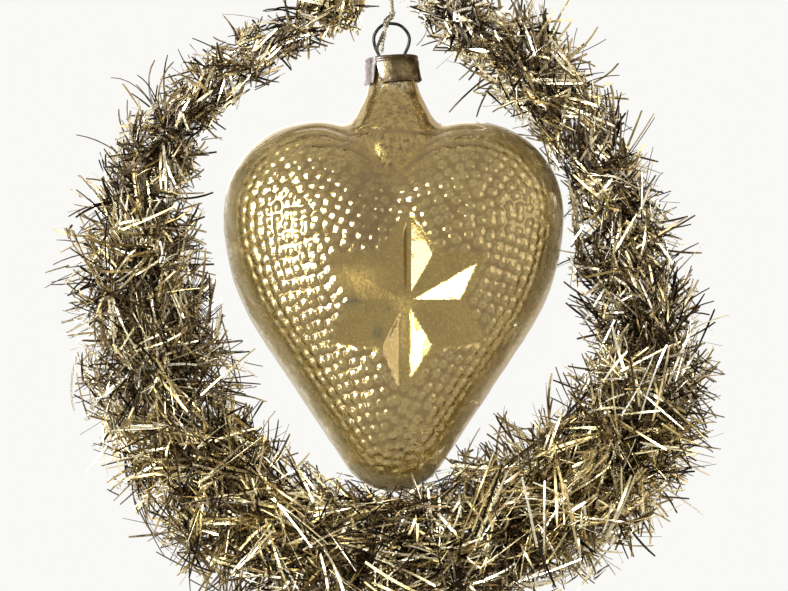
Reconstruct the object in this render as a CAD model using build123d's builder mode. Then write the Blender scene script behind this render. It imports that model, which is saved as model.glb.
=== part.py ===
from build123d import *

import os
from math import asin, cos, degrees, radians, sin, sqrt, tan

# Embossed glass heart hanging by a metallic thread inside a wreath of tinsel garland.
#
# Millimetres, +Z up, the front faces -Y. The origin is the inside top of the wire eye that the
# wreath hangs by. Everything else hangs below it, in the plane Y = 0.

# ---- driving dimensions -------------------------------------------------------------------

# glass heart: two lobe circles, a big arc down each side, straight flanks and a round tip
LOBE_R = 18.5  # radius of each lobe
LOBE_X = 15.4  # lobe centres, left and right of the axis
LOBE_Z = -56.8  # height of the lobe centres, the widest level
NOTCH_R = 8.0  # hollow fillet between the lobes, under the neck
SIDE_R = 44.0  # arc from the widest level down to the flank
FLANK_DEG = 33.5  # the flank's lean from the vertical
TIP_R = 11.2  # blunt tip
POLE_Z = -72.0  # where the heart is fattest
HALF_DEPTH = 17.0  # from the mould seam to the fattest point
RIM_POWER = 2.4  # how flat the faces are: 2 is an ellipse
GLASS = 0.7  # wall thickness

# six-rayed star pressed into each face
STAR_X, STAR_Z = 2.9, -74.0
STAR_TIP_R = 16.6
STAR_NOTCH_R = 10.4
STAR_DEPTH = 4.2
STAR_RAYS = 6

# flared neck
NECK_TOP_Z, NECK_TOP_R = -26.4, 4.35
NECK_CAP_Z, NECK_CAP_R = -30.6, 4.75  # where the cap's lower edge sits
NECK_FLARE_Z, NECK_FLARE_R = -40.1, 9.5  # where the flare ends in a shoulder
SHOULDER_Z, SHOULDER_R = -47.0, 11.4  # round shoulder that runs into both faces

# tin cap
CAP_X, CAP_TOP_Z = -0.4, -25.4
CAP_TILT_DEG = 4.0
CAP_R, CAP_SKIRT_R, CAP_H, TIN = 5.3, 5.5, 5.2, 0.25
CAP_SLITS_DEG = (-126, -22, 70, 160)  # around the cap, 0 is +X and -90 is the front
SLIT_H, SLIT_W = 4.3, 2.2

# sprung wire clip
CLIP_WIRE_R = 0.3
RING_X, RING_Z, RING_R = -0.4, -22.2, 3.55
RING_OPEN_DEG = 25.0  # how far below its middle the ring turns into straight legs
LEG_PASS_DZ = 3.25  # below the ring's middle, where the legs cross the cap
LEG_STRAIGHT_DZ, LEG_END_DZ = 5.6, 17.0
LEG_SPREAD = 2.2
LEG_BEND_R = 0.8
LEG_HOLE_R = 0.5

# garland core: two thin wires side by side, along one rounded route
CORE_WIRE_R, CORE_HALF_GAP = 0.4, 0.45
CORE_ROUTE = [
    (0, -8.5),
    (27, -27),
    (41, -49),
    (47, -70),
    (52, -89),
    (44.5, -107.5),
    (24, -119.5),
    (-5, -126),
    (-29, -121.5),
    (-46.5, -101),
    (-53.5, -67),
    (-50, -44),
    (-34.5, -28.5),
]
APEX_BEND_R = 7.0

# tinsel: soft sleeves around the core, thin at the top and full at the bottom
BARE_CORE = 5.0  # length of bare core each side of the top
TINSEL_SKIN = 0.4
TINSEL_RADII = [2.6, 4.4, 4.6, 5.2, 7.0, 9.0, 9.4, 8.8, 9.0, 9.4, 9.4, 8.0, 6.6, 4.6, 2.6]

# hanging eye, wound round the core at the top
EYE_INNER_R, EYE_WIRE_R = 4.2, 0.4
EYE_FOOT_X = 1.6
EYE_TURNS, EYE_TURN_PITCH = 3, 0.68
EYE_COIL_WIRE_R = 0.37  # the wire is drawn a little flatter where it is wound
FOOT_SINK = 0.25  # how far the eye's feet run into their first turn

# metallic thread
THREAD_R = 0.25
EYELET_GAP = 0.1
KNOT_R, KNOT_END_R, KNOT_HALF_H = 0.75, 0.3, 0.95
TAIL_R = 0.2

os.makedirs("parts", exist_ok=True)


def save(builder, name):
    """Label a finished sub-part and write it."""
    builder.part.label = name
    export_step(builder.part, f"parts/{name}.step")


# ---- glass heart --------------------------------------------------------------------------


def heart_outline(scale, inset):
    """The heart's outline, drawn as arcs and two lines, scaled about the fattest point."""
    lobe_r, side_r, tip_r, notch_r = LOBE_R - inset, SIDE_R - inset, TIP_R - inset, NOTCH_R + inset
    side_x = LOBE_X + LOBE_R - SIDE_R
    lean = radians(FLANK_DEG)
    # the tip's centre: where a circle of radius TIP_R touches both flanks
    flank_x, flank_z = side_x + SIDE_R * cos(lean), LOBE_Z - SIDE_R * sin(lean)
    tip_z = (TIP_R - cos(lean) * flank_x + sin(lean) * flank_z) / sin(lean)
    reach = LOBE_R + NOTCH_R
    notch_z = LOBE_Z + sqrt(reach**2 - LOBE_X**2)
    part_way = LOBE_X / reach  # along the line from the notch's centre to the lobe's
    notch_end = (part_way * notch_r, notch_z - (notch_z - LOBE_Z) / reach * notch_r)
    lobe_start = degrees(asin((notch_z - LOBE_Z) / reach))

    def place(x, z):
        return (x * scale, POLE_Z + (z - POLE_Z) * scale)

    def on_circle(cx, cz, r, deg):
        return place(cx + r * cos(radians(deg)), cz + r * sin(radians(deg)))

    widest = on_circle(LOBE_X, LOBE_Z, lobe_r, 0)
    flank_top = on_circle(side_x, LOBE_Z, side_r, -FLANK_DEG)
    flank_end = on_circle(0, tip_z, tip_r, -FLANK_DEG)
    with BuildLine() as outline:
        ThreePointArc(
            place(0, notch_z - notch_r),
            on_circle(0, notch_z, notch_r, -90 + (90 - lobe_start) / 2),
            place(*notch_end),
        )
        ThreePointArc(
            place(*notch_end),
            on_circle(LOBE_X, LOBE_Z, lobe_r, (180 - lobe_start) / 2),
            widest,
        )
        ThreePointArc(widest, on_circle(side_x, LOBE_Z, side_r, -FLANK_DEG / 2), flank_top)
        Line(flank_top, flank_end)
        ThreePointArc(
            flank_end, on_circle(0, tip_z, tip_r, -(90 + FLANK_DEG) / 2), place(0, tip_z - tip_r)
        )
        mirror(about=Plane.YZ)
    return outline.line


LEVELS_DEG = (0, 14, 28, 41, 53, 64, 74, 83)


def heart_bulge(inset):
    """Both faces of the heart, lofted through ever smaller outlines from the seam outwards."""
    sections = []
    for level in LEVELS_DEG:
        scale = cos(radians(level)) ** (2 / RIM_POWER)
        with BuildSketch(Plane.XZ.offset((HALF_DEPTH - inset) * sin(radians(level)))) as section:
            add(heart_outline(scale, inset))
            make_face()
        sections.append(section.sketch)
    loft(sections)
    mirror(about=Plane.XZ)


def neck_body(inset, top_z):
    """Neck, flare and round shoulder, turned about the heart's axis."""
    with BuildSketch(Plane.XZ) as profile:
        with BuildLine():
            top = (NECK_TOP_R - inset, top_z)
            cap_edge = (NECK_CAP_R - inset, NECK_CAP_Z)
            flare_end = (NECK_FLARE_R - inset, NECK_FLARE_Z)
            waist = (NECK_CAP_R - inset + 1.5, NECK_CAP_Z - 4.1)
            shoulder = (SHOULDER_R - inset, SHOULDER_Z)
            bottom = (0, SHOULDER_Z - SHOULDER_R + inset)
            Line((0, top_z), top)
            Line(top, cap_edge)
            ThreePointArc(cap_edge, waist, flare_end)
            lift = radians(20)
            rounding = (
                (SHOULDER_R - inset) * cos(lift),
                SHOULDER_Z + (SHOULDER_R - inset) * sin(lift),
            )
            ThreePointArc(flare_end, rounding, shoulder)
            low = radians(-45)
            belly = (
                (SHOULDER_R - inset) * cos(low),
                SHOULDER_Z + (SHOULDER_R - inset) * sin(low),
            )
            ThreePointArc(shoulder, belly, bottom)
            Line(bottom, (0, top_z))
        make_face()
    revolve(profile.sketch, axis=Axis.Z)


def heart_reach(x, z):
    """Distance from the fattest point to the outline, in the direction of (x, z)."""
    lean = radians(FLANK_DEG)
    lobe_up = LOBE_Z - POLE_Z
    side_x = LOBE_X + LOBE_R - SIDE_R
    away, up = abs(x), z - POLE_Z
    length = max(sqrt(away**2 + up**2), 1e-6)
    away, up = away / length, up / length

    def to_circle(cx, cz, r):
        along = away * cx + up * cz
        return along + sqrt(max(0.0, along**2 - cx**2 - cz**2 + r**2))

    widest_deg = degrees(asin(lobe_up / sqrt(lobe_up**2 + (LOBE_X + LOBE_R) ** 2)))
    height_deg = degrees(asin(up))
    if height_deg > widest_deg:
        return to_circle(LOBE_X, lobe_up, LOBE_R)
    flank_x, flank_up = side_x + SIDE_R * cos(lean), lobe_up - SIDE_R * sin(lean)
    if height_deg > -degrees(asin(-flank_up / sqrt(flank_up**2 + flank_x**2))):
        return to_circle(side_x, lobe_up, SIDE_R)
    return (flank_x * cos(lean) - flank_up * sin(lean)) / (away * cos(lean) - up * sin(lean))


def face_depth(x, z):
    """How far each face lies from the seam plane at (x, z)."""
    share = sqrt(x**2 + (z - POLE_Z) ** 2) / heart_reach(x, z)
    return HALF_DEPTH * sqrt(max(0.0, 1 - share**RIM_POWER))


def star_cutter(front, sink):
    """A faceted star, point inwards; front is -1 or 1 for the face, sink moves it inwards."""

    def on_face(r, deg):
        x, z = STAR_X + r * cos(radians(deg)), STAR_Z + r * sin(radians(deg))
        return Vector(x, front * (face_depth(x, z) - sink), z)

    centre_depth = face_depth(STAR_X, STAR_Z) - STAR_DEPTH - sink
    centre = Vector(STAR_X, front * centre_depth, STAR_Z)
    crown = Vector(STAR_X, front * HALF_DEPTH * 2, STAR_Z)
    stretch = 1.3  # carries each facet out past the glass
    step = 180 / STAR_RAYS
    rim = []
    for i in range(2 * STAR_RAYS):
        r = STAR_TIP_R if i % 2 == 0 else STAR_NOTCH_R
        rim.append(centre + (on_face(r, 90 + i * step) - centre) * stretch)
    facets = []
    for a, b in zip(rim, rim[1:] + rim[:1]):
        facets.append(Face(Wire.make_polygon([centre, a, b])))
        facets.append(Face(Wire.make_polygon([crown, b, a])))
    return Solid(Shell(facets))


with BuildPart() as heart_hollow:
    heart_bulge(GLASS)
    neck_body(GLASS, NECK_TOP_Z + 1)
    for side in (-1, 1):
        add(star_cutter(side, GLASS * 1.15), mode=Mode.SUBTRACT)

with BuildPart() as glass_heart:
    heart_bulge(0)
    neck_body(0, NECK_TOP_Z)
    for side in (-1, 1):
        add(star_cutter(side, 0), mode=Mode.SUBTRACT)
    add(heart_hollow.part, mode=Mode.SUBTRACT)
save(glass_heart, "glass_heart")

# ---- tin cap ------------------------------------------------------------------------------

tilt = radians(CAP_TILT_DEG)
cap_axis_dir = Vector(-sin(tilt), 0, cos(tilt))
cap_side_dir = Vector(cos(tilt), 0, sin(tilt))
cap_top = Vector(CAP_X, 0, CAP_TOP_Z)
cap_section = Plane(origin=cap_top, x_dir=cap_side_dir, z_dir=(0, -1, 0))
cap_plate = Plane(origin=cap_top, x_dir=cap_side_dir, z_dir=cap_axis_dir)

leg_run = LEG_PASS_DZ - RING_R * sin(radians(RING_OPEN_DEG))
leg_pass_x = RING_R * cos(radians(RING_OPEN_DEG)) - leg_run * tan(radians(RING_OPEN_DEG))

with BuildPart() as metal_cap:
    with BuildSketch(cap_section):
        with BuildLine():
            Polyline(
                (0, 0),
                (CAP_R, 0),
                (CAP_SKIRT_R, -CAP_H),
                (CAP_SKIRT_R - TIN, -CAP_H),
                (CAP_R - TIN, -TIN),
                (0, -TIN),
                close=True,
            )
        make_face()
    revolve(axis=Axis(cap_top, cap_axis_dir))
    for angle in CAP_SLITS_DEG:
        outwards = cap_side_dir * cos(radians(angle)) + Vector(0, 1, 0) * sin(radians(angle))
        slit_plane = Plane(origin=cap_top, x_dir=cap_axis_dir.cross(outwards), z_dir=outwards)
        with BuildSketch(slit_plane):
            with BuildLine():
                Polyline(
                    (-SLIT_W / 2, -CAP_H - 1),
                    (SLIT_W / 2, -CAP_H - 1),
                    (0.1, -CAP_H + SLIT_H),
                    (-0.1, -CAP_H + SLIT_H),
                    close=True,
                )
            make_face()
        extrude(amount=CAP_SKIRT_R + 1, mode=Mode.SUBTRACT)
    leg_places = [(RING_X - CAP_X + s * leg_pass_x, 0) for s in (-1, 1)]
    with BuildSketch(cap_plate):
        with Locations(*leg_places):
            Circle(LEG_HOLE_R)
    extrude(amount=TIN, both=True, mode=Mode.SUBTRACT)
save(metal_cap, "metal_cap")

# ---- sprung wire clip ---------------------------------------------------------------------


def leg_points(s):
    """One leg, from the ring down through the cap and out towards the glass."""
    start = (
        RING_X + s * RING_R * cos(radians(RING_OPEN_DEG)),
        RING_Z - RING_R * sin(radians(RING_OPEN_DEG)),
    )
    through = (RING_X + s * leg_pass_x, RING_Z - LEG_PASS_DZ)
    straight = (through[0] + s * 0.1, RING_Z - LEG_STRAIGHT_DZ)
    end = (through[0] + s * LEG_SPREAD, RING_Z - LEG_END_DZ)
    return [start, through, straight, end]


with BuildPart() as wire_clip:
    with BuildLine(Plane.XZ) as clip_path:
        CenterArc((RING_X, RING_Z), RING_R, -RING_OPEN_DEG, 180 + 2 * RING_OPEN_DEG)
        for s in (-1, 1):
            FilletPolyline(*leg_points(s), radius=(LEG_BEND_R, LEG_BEND_R * 2))
    clip_wire = clip_path.wire()
    with BuildSketch(Plane(origin=clip_wire @ 0, z_dir=clip_wire % 0)):
        Circle(CLIP_WIRE_R)
    sweep(path=clip_wire)
save(wire_clip, "wire_clip")

# ---- garland core -------------------------------------------------------------------------


def bend_radii(route):
    """The largest bend at each corner that leaves a little of each run straight."""
    radii = [APEX_BEND_R]
    for i in range(1, len(route)):
        before = Vector(*route[i]) - Vector(*route[i - 1])
        after = Vector(*route[(i + 1) % len(route)]) - Vector(*route[i])
        half_turn = radians(before.get_angle(after)) / 2
        radii.append(0.45 * min(before.length, after.length) / tan(half_turn))
    return radii


def core_route(y):
    """The garland's closed route, in a plane parallel to the wreath's."""
    with BuildLine(Plane.XZ.offset(-y)) as route:
        FilletPolyline(*CORE_ROUTE, radius=bend_radii(CORE_ROUTE), close=True)
    return route.wire()


core_line = core_route(0)
core_length = core_line.length
samples = [i / 4000 for i in range(4000)]
apex_at = min(samples, key=lambda t: abs((core_line @ t).X) + max(0, -20 - (core_line @ t).Z))
heading = 1 if (core_line % apex_at).X > 0 else -1


def core_plane(run):
    """The plane across the core, a given run clockwise from the top."""
    t = (apex_at + heading * run / core_length) % 1
    return Plane(origin=core_line @ t, x_dir=(0, 1, 0), z_dir=(core_line % t) * heading)


for name, y in (("core_wire_a", -CORE_HALF_GAP), ("core_wire_b", CORE_HALF_GAP)):
    path = core_route(y)
    with BuildPart() as core_wire:
        with BuildSketch(Plane(origin=path @ 0, z_dir=path % 0)):
            Circle(CORE_WIRE_R)
        sweep(path=path)
    save(core_wire, name)

# ---- tinsel -------------------------------------------------------------------------------

tinsel_count = len(TINSEL_RADII) - 1
tinsel_run = (core_length - 2 * BARE_CORE) / tinsel_count
bore_r = CORE_HALF_GAP + CORE_WIRE_R + 0.05


def sleeve_loft(first, last, r_first, r_last, mode):
    """A round tuft along the core between two runs, a little fuller in its middle."""
    middle_r = (r_first + r_last) / 2 * 1.06
    sections = []
    for run, r in ((first, r_first), ((first + last) / 2, middle_r), (last, r_last)):
        with BuildSketch(core_plane(run)) as section:
            Circle(r)
        sections.append(section.sketch)
    loft(sections, mode=mode)


for i in range(tinsel_count):
    first = BARE_CORE + i * tinsel_run
    last = first + tinsel_run
    r_first, r_last = TINSEL_RADII[i], TINSEL_RADII[i + 1]
    with BuildPart() as tuft:
        sleeve_loft(first, last, r_first, r_last, Mode.ADD)
        sleeve_loft(
            first + TINSEL_SKIN,
            last - TINSEL_SKIN,
            r_first - TINSEL_SKIN,
            r_last - TINSEL_SKIN,
            Mode.SUBTRACT,
        )
        for run in (first, last - TINSEL_SKIN):
            with BuildSketch(core_plane(run)):
                Circle(bore_r)
            extrude(amount=TINSEL_SKIN, mode=Mode.SUBTRACT)
    save(tuft, f"tinsel_{i + 1:02d}")

# ---- hanging eye --------------------------------------------------------------------------

eye_r = EYE_INNER_R + EYE_WIRE_R
eye_z = -EYE_INNER_R
wrap_r = CORE_HALF_GAP + CORE_WIRE_R + 0.05 + EYE_COIL_WIRE_R
foot_deg = degrees(asin(EYE_FOOT_X / eye_r))
foot_planes = [core_plane(s * EYE_FOOT_X) for s in (-1, 1)]

with BuildPart() as hanging_eye:
    with BuildLine(Plane.XZ) as eye_path:
        CenterArc((0, eye_z), eye_r, -90 + foot_deg, 360 - 2 * foot_deg)
        for s, foot in zip((-1, 1), foot_planes):
            neck_end = (s * EYE_FOOT_X, eye_z - eye_r * cos(radians(foot_deg)))
            Line(neck_end, (s * EYE_FOOT_X, foot.origin.Z + wrap_r - FOOT_SINK))
    eye_wire = eye_path.wire()
    with BuildSketch(Plane(origin=eye_wire @ 0, z_dir=eye_wire % 0)):
        Circle(EYE_WIRE_R)
    sweep(path=eye_wire, transition=Transition.ROUND)
    for s in (-1, 1):
        for turn in range(EYE_TURNS):
            across = core_plane(s * (EYE_FOOT_X + turn * EYE_TURN_PITCH))
            with Locations(across):
                Torus(wrap_r, EYE_COIL_WIRE_R)
save(hanging_eye, "hanging_eye")

# ---- metallic thread ----------------------------------------------------------------------

core_top_z = (core_line @ apex_at).Z
ring_top_z = RING_Z + sqrt(RING_R**2 - RING_X**2)
eyelet_r = CLIP_WIRE_R + EYELET_GAP + THREAD_R
knot_z = ring_top_z + eyelet_r + KNOT_HALF_H - 0.05
thread_end_z = knot_z + KNOT_HALF_H + EYELET_GAP
over_core_r = wrap_r - EYE_COIL_WIRE_R + EYELET_GAP + THREAD_R
thread_y = 0.35  # the two strands lie nearly together above the knot

with BuildPart() as hanging_thread:
    with BuildLine(Plane.YZ) as thread_path:
        CenterArc((0, core_top_z), over_core_r, 0, 180)
        for s in (-1, 1):
            FilletPolyline(
                (s * over_core_r, core_top_z),
                (s * over_core_r, core_top_z - 1),
                (s * thread_y, core_top_z - 4),
                (s * thread_y, thread_end_z),
                radius=1.5,
            )
    thread_wire = thread_path.wire()
    with BuildSketch(Plane(origin=thread_wire @ 0, z_dir=thread_wire % 0)):
        Circle(THREAD_R)
    sweep(path=thread_wire)
save(hanging_thread, "hanging_thread")

with BuildPart() as thread_knot:
    with BuildSketch(Plane.XZ):
        with BuildLine():
            low, high = (KNOT_END_R, knot_z - KNOT_HALF_H), (KNOT_END_R, knot_z + KNOT_HALF_H)
            ThreePointArc(low, (KNOT_R, knot_z), high)
            Polyline(high, (0, high[1]), (0, low[1]), low)
        make_face()
    revolve(axis=Axis.Z)
    with Locations(Plane(origin=(0, 0, ring_top_z), z_dir=(1, 0, 0))):
        Torus(eyelet_r, THREAD_R)
save(thread_knot, "thread_knot")

# the thread's two cut ends, hanging in front of the ring
TAIL_GOLD = [(-0.3, -0.75, -17.6), (-1.3, -1.15, -19.4), (-1.8, -1.0, -22.0), (-2.2, -1.0, -24.3)]
TAIL_DARK = [(-0.6, -0.65, -17.3), (-2.0, -1.3, -19.0), (-2.5, -1.2, -21.4), (-3.3, -1.2, -23.9)]
for name, route in (("thread_tail_gold", TAIL_GOLD), ("thread_tail_dark", TAIL_DARK)):
    with BuildPart() as tail:
        with BuildLine() as tail_path:
            FilletPolyline(*route, radius=1.4)
        tail_wire = tail_path.wire()
        with BuildSketch(Plane(origin=tail_wire @ 0, z_dir=tail_wire % 0)):
            Circle(TAIL_R)
        sweep(path=tail_wire)
    save(tail, name)

print(f"garland core {core_length:.1f} mm long, its top at Z {core_top_z:.2f}")
print(f"clip ring's top at Z {ring_top_z:.2f}, legs through the cap at X {RING_X:.1f} +- {leg_pass_x:.2f}")
print(f"hanging thread {thread_wire.length:.1f} mm, down to Z {thread_end_z:.2f}")
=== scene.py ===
import math

import bpy
import numpy as np
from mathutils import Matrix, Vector
from mathutils.kdtree import KDTree


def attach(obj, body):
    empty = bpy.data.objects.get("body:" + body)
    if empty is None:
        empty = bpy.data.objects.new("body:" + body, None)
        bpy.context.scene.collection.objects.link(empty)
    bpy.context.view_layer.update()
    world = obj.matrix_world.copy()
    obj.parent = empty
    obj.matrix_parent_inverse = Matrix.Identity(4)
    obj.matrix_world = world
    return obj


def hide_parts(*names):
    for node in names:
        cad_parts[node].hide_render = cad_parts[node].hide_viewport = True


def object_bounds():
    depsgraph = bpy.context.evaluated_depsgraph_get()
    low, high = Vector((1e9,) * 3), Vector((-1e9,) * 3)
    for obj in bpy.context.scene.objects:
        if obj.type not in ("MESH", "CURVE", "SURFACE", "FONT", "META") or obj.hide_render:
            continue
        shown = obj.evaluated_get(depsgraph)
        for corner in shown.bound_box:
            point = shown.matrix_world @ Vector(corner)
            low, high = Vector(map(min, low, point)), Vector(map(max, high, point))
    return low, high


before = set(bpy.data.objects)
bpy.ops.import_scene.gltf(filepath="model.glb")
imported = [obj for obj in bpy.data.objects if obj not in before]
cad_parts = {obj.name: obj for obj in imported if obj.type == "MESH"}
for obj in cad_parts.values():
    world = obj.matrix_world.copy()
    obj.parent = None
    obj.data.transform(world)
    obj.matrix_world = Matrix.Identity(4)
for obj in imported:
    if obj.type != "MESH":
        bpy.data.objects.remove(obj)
cad_low, cad_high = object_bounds()

# Millimetres are used while a shape is worked out; meshes are made in metres.
MM = 0.001
TAU = 2 * math.pi
draw = np.random.default_rng(58)

# ---- the heart's driving sizes, as in the CAD model ----

LOBE_R, LOBE_X, LOBE_Z = 18.5, 15.4, -56.8
NOTCH_R, SIDE_R, TIP_R = 8.0, 44.0, 11.2
LEAN = math.radians(33.5)
POLE_Z, HALF_DEPTH, RIM_POWER = -72.0, 17.0, 2.4
STAR_X, STAR_Z, STAR_TIP_R, STAR_NOTCH_R, STAR_DEPTH = 2.9, -74.0, 16.6, 10.4, 4.2
NECK_TOP_Z, GLASS = -26.4, 0.7
SHOULDER_Z, SHOULDER_R = -47.0, 11.4
NECK_HOLLOW = 2.2  # radius of the hollow where neck and body meet
NECK_FLOOR_Z = -40.6  # the neck is open down to here
HEART_VOXEL = 0.415  # cell of the remeshed heart
PEBBLE_PITCH, PEBBLE_ROW, PEBBLE_R, PEBBLE_H = 2.3, 2.05, 1.08, 0.34
FIRST_ROW, DEEPEST_ROW, FACE_REACH = 4.2, 29.0, 33.0  # of the pebbles, in from the outline

# ---- general helpers ----


def smoothstep(value, low, high):
    """0 below low, 1 above high, smooth between; low may be above high."""
    t = np.clip((value - low) / (high - low), 0, 1)
    return t * t * (3 - 2 * t)


def unit(v):
    """Vectors scaled to length 1 along the last axis."""
    return v / np.maximum(np.linalg.norm(v, axis=-1, keepdims=True), 1e-12)


def smooth_min(first, second, soft):
    """The lesser of two values, rounded off where they differ by less than soft."""
    h = np.clip(0.5 + 0.5 * (second - first) / soft, 0, 1)
    return second * (1 - h) + first * h - soft * h * (1 - h)


def bell(value, width):
    """1 at 0, falling off over a width to each side."""
    return np.exp(-((value / width) ** 2))


def lattice(cell, seed):
    """A repeatable number from 0 to 1 for each whole-number cell."""
    h = cell[..., 0] * 73856093 ^ cell[..., 1] * 19349663 ^ cell[..., 2] * 83492791
    h = (h ^ (seed * 2654435761)) & 0xFFFFFFFF
    h = (h ^ (h >> 13)) * 1274126177 & 0xFFFFFFFF
    return ((h ^ (h >> 16)) & 0xFFFFFF) / float(0xFFFFFF)


def noise3(p, size, seed):
    """Smooth noise from -1 to 1 at points p, with lumps about size across."""
    q = p / size
    cell = np.floor(q).astype(np.int64)
    f = q - cell
    f = f * f * (3 - 2 * f)
    total = np.zeros(len(p))
    for dx in (0, 1):
        for dy in (0, 1):
            for dz in (0, 1):
                weight = np.abs(1 - dx - f[:, 0]) * np.abs(1 - dy - f[:, 1]) * np.abs(1 - dz - f[:, 2])
                total += weight * lattice(cell + np.array([dx, dy, dz]), seed)
    return total * 2 - 1


def make_object(name, points, faces, material, attributes=None, sharp_deg=None):
    """A mesh object from points in millimetres and faces, smooth shaded."""
    mesh = bpy.data.meshes.new(name)
    mesh.from_pydata((np.asarray(points) * MM).tolist(), [], faces)
    mesh.polygons.foreach_set("use_smooth", [True] * len(mesh.polygons))
    for key, values in (attributes or {}).items():
        layer = mesh.attributes.new(key, "FLOAT", "POINT")
        layer.data.foreach_set("value", np.asarray(values, np.float32))
    mesh.update()
    if sharp_deg is not None:
        mesh.set_sharp_from_angle(angle=math.radians(sharp_deg))
    mesh.materials.append(material)
    return add_object(name, mesh)


def add_object(name, data):
    """A new object in the scene."""
    obj = bpy.data.objects.new(name, data)
    bpy.context.scene.collection.objects.link(obj)
    return obj


def apply_modifiers(obj):
    """The object's mesh becomes what its modifiers make of it."""
    graph = bpy.context.evaluated_depsgraph_get()
    made = bpy.data.meshes.new_from_object(obj.evaluated_get(graph))
    old = obj.data
    obj.modifiers.clear()
    obj.data = made
    bpy.data.meshes.remove(old)


def settle(obj, body, slot, *nodes):
    """The piece rides on its body and stands for its CAD nodes; its finish slot is not used."""
    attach(obj, body)
    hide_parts(*nodes)


def make_piece(name, shape, material, body, slot, node, sharp_deg=None):
    """A settled piece; its shape is points, faces and perhaps marks stored on the points."""
    points, faces, *marks = shape
    obj = make_object(name, points, faces, material, *marks, sharp_deg=sharp_deg)
    settle(obj, body, slot, node)
    return obj


def join_parts(parts):
    """One list of points and one of faces from several."""
    points, faces, start = [], [], 0
    for part_points, part_faces in parts:
        points.append(np.asarray(part_points))
        faces += [[i + start for i in face] for face in part_faces]
        start += len(part_points)
    return np.concatenate(points), faces


def quads(rows, sides, closed=False):
    """Quads between rows of points; each row goes round, and a closed run of rows does too."""
    faces = []
    for i in range(rows if closed else rows - 1):
        j = (i + 1) % rows
        for k in range(sides):
            m = (k + 1) % sides
            faces.append([i * sides + k, i * sides + m, j * sides + m, j * sides + k])
    return faces


def direction_along(line, closed):
    """The direction of a line at each of its points."""
    if closed:
        return unit(np.roll(line, -1, 0) - np.roll(line, 1, 0))
    return unit(np.gradient(line, axis=0))


def tube(path, radius, sides=10, closed=False):
    """A round tube along a path."""
    path = np.asarray(path, float)
    count = len(path)
    tangent = direction_along(path, closed)
    side = np.cross(tangent[0], (0.31, 0.87, 0.37))  # any direction that no path has
    normals = []
    for t in tangent:
        side = side - t * np.dot(side, t)
        side = side / np.linalg.norm(side)
        normals.append(side)
    normals = np.array(normals)
    if closed:  # the small turn left over at the seam is spread along the whole tube
        back = normals[-1] - tangent[0] * np.dot(normals[-1], tangent[0])
        back = back / np.linalg.norm(back)
        gap = math.atan2(np.dot(np.cross(back, normals[0]), tangent[0]), np.dot(back, normals[0]))
        turn = np.linspace(0, gap, count)[:, None]
        normals = normals * np.cos(turn) + np.cross(tangent, normals) * np.sin(turn)
    across = np.cross(tangent, normals)
    angle = (np.arange(sides) / sides * TAU)[None, :, None]
    ring = normals[:, None] * np.cos(angle) + across[:, None] * np.sin(angle)
    points = path[:, None] + ring * radius
    faces = quads(count, sides, closed)
    if not closed:
        faces.append(list(range(sides))[::-1])
        faces.append([(count - 1) * sides + k for k in range(sides)])
    return points.reshape(-1, 3), faces


def nurbs_line(controls, steps, cyclic=False):
    """Points along a smooth spline with the given control points, in millimetres."""
    data = bpy.data.curves.new("line", "CURVE")
    data.dimensions = "3D"
    data.resolution_u = steps
    spline = data.splines.new("NURBS")
    spline.points.add(len(controls) - 1)
    for point, c in zip(spline.points, controls):
        point.co = (c[0], c[1], c[2], 1)
    spline.order_u = 3
    spline.use_cyclic_u = cyclic
    spline.use_endpoint_u = not cyclic
    holder = add_object("line", data)
    mesh = bpy.data.meshes.new_from_object(holder)
    line = np.array([v.co for v in mesh.vertices])
    bpy.data.objects.remove(holder)
    bpy.data.meshes.remove(mesh)
    bpy.data.curves.remove(data)
    return line


def run_along(line):
    """How far along a line each of its points lies."""
    return np.concatenate([[0], np.cumsum(np.linalg.norm(np.diff(line, axis=0), axis=1))])


def evenly(line, spacing, closed=False):
    """The same line with points at an even spacing."""
    if closed:
        line = np.concatenate([line, line[:1]])
    run = run_along(line)
    count = max(2, int(round(run[-1] / spacing)))
    at = np.linspace(0, run[-1], count + 1)
    if closed:
        at = at[:-1]
    return np.stack([np.interp(at, run, line[:, i]) for i in range(3)], 1)


def twisted(line, radius, pitch, phase, closed=False):
    """A strand wound round a line: radius from it, one turn in each pitch."""
    tangent = direction_along(line, closed)
    run = run_along(line)
    if closed:  # a whole number of turns, so that the strand meets itself
        whole = run[-1] + np.linalg.norm(line[0] - line[-1])
        pitch = whole / round(whole / pitch)
    across = unit(np.cross(tangent, (0.0, 1.0, 0.02)))  # no line here runs that way
    up = np.cross(across, tangent)
    a = (run / pitch * TAU + phase)[:, None]
    return line + (across * np.cos(a) + up * np.sin(a)) * radius


# ---- materials ----


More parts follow.
